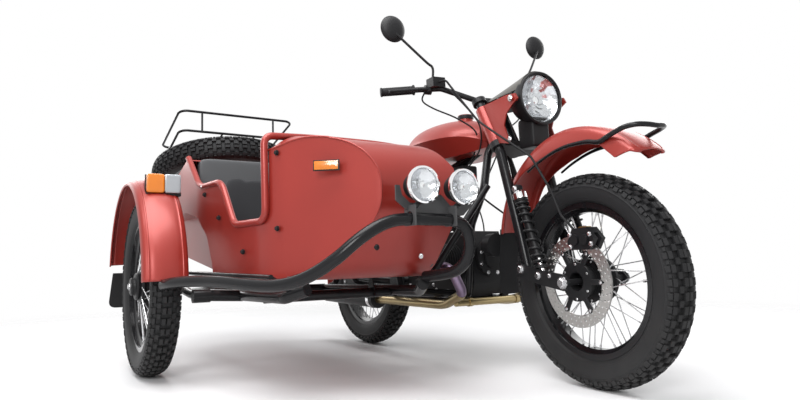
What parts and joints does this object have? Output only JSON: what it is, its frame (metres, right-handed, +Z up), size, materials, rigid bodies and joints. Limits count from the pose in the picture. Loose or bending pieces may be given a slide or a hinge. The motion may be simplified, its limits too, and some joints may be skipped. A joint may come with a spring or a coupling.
{
  "type": "sidecar motorcycle with spare wheel",
  "caption": "Classic flat twin motorcycle with a leading link fork and an open sidecar that carries a spare wheel and rack on its boot lid.",
  "frame": {"origin": "on the ground under the middle of the whole vehicle's bounding box", "axes": "+X forward, +Y to the rider's left, +Z up; the sidecar is on the -Y side"},
  "size_m": [2.4651, 1.698, 1.4514],
  "materials": {
    "red_paint": "satin metallic brick red paint",
    "black_frame": "satin black powder coat",
    "black_metal": "black painted castings and brackets",
    "engine_black": "matt black heat proof paint on castings",
    "black_plastic": "grained black moulded plastic",
    "black_rubber": "black moulded rubber",
    "tyre": "block tread tyre rubber",
    "black_rim": "gloss black rim",
    "bright_steel": "zinc plated and machined steel",
    "disc_steel": "ground stainless disc",
    "bronze_pipe": "heat tinted steel pipe",
    "chrome": "polished chrome",
    "seat_leather": "black grained upholstery",
    "lamp_glass": "clear lamp glass",
    "lamp_amber": "amber lamp lens",
    "lamp_red": "red lamp lens"
  },
  "bodies": {
    "chassis": {"frame_tubes": "black_frame", "engine_block": "engine_black", "cylinders": "engine_black", "rocker_covers": "engine_black", "fuel_tank": "red_paint", "seat": "seat_leather", "exhaust_headers": "bronze_pipe", "silencers": "black_metal", "horn": "black_plastic", "rear_swingarm": "black_frame", "final_drive": "engine_black", "rear_shocks": "black_metal", "rear_fender": "red_paint", "tail_lamp": "lamp_red", "plate_bracket": "black_metal", "sidecar_swingarm": "black_frame", "sidecar_fender": "red_paint", "sidecar_flap": "black_rubber", "fender_lamp": "lamp_amber", "sidecar_frame": "black_frame", "sidecar_struts": "black_frame", "sidecar_hoop": "black_frame", "lamp_bracket": "black_metal", "spot_lamps": "chrome", "sidecar_body": "red_paint", "cockpit_rim": "red_paint", "sidecar_seat": "seat_leather", "sidecar_backrest": "seat_leather"},
    "fork": {"fork_legs": "black_frame", "fork_yokes": "black_metal", "fork_ears": "red_paint", "headlamp_shell": "black_metal", "headlamp_lens": "lamp_glass", "headlamp_cowl": "black_plastic", "handlebar": "black_metal", "grips": "black_rubber", "mirrors": "black_plastic", "front_fender": "red_paint", "fender_hoop": "black_frame", "front_flap": "black_rubber", "leading_links": "black_metal", "front_shocks": "black_metal", "front_caliper": "black_metal", "bar_controls": "black_metal", "brake_hose": "bright_steel"},
    "front_wheel": {"front_tyre": "tyre", "front_rim": "black_rim", "front_hub": "bright_steel", "front_disc": "disc_steel"},
    "rear_wheel": {"rear_tyre": "tyre", "rear_rim": "black_rim", "rear_hub": "bright_steel"},
    "sidecar_wheel": {"sidecar_tyre": "tyre", "sidecar_rim": "black_rim", "sidecar_hub": "bright_steel"},
    "boot_lid": {"trunk_lid": "red_paint", "spare_tyre": "tyre", "spare_rim": "black_rim", "spare_hub": "bright_steel", "luggage_rack": "black_frame"}
  },
  "joints": [
    {"name": "steering", "type": "hinge", "parent": "chassis", "child": "fork", "pos_m": [0.959, 0.4, 0], "axis": [-0.454, 0, 0.891], "range_deg": [-30.5, 39.5]},
    {"name": "front_wheel_spin", "type": "hinge", "parent": "fork", "child": "front_wheel", "pos_m": [0.88873, 0.39243, 0.34986], "axis": [0.0699, 0.9969, 0.0356], "continuous": true},
    {"name": "rear_wheel_spin", "type": "hinge", "parent": "chassis", "child": "rear_wheel", "pos_m": [-0.611, 0.4, 0.35], "axis": [0, 1, 0], "continuous": true},
    {"name": "sidecar_wheel_spin", "type": "hinge", "parent": "chassis", "child": "sidecar_wheel", "pos_m": [-0.356, -0.76, 0.35], "axis": [0, 1, 0], "continuous": true},
    {"name": "boot_lid_hinge", "type": "hinge", "parent": "chassis", "child": "boot_lid", "pos_m": [-0.4455, -0.271, 0.884], "axis": [0, 1, 0], "range_deg": [0, 60]}
  ]
}
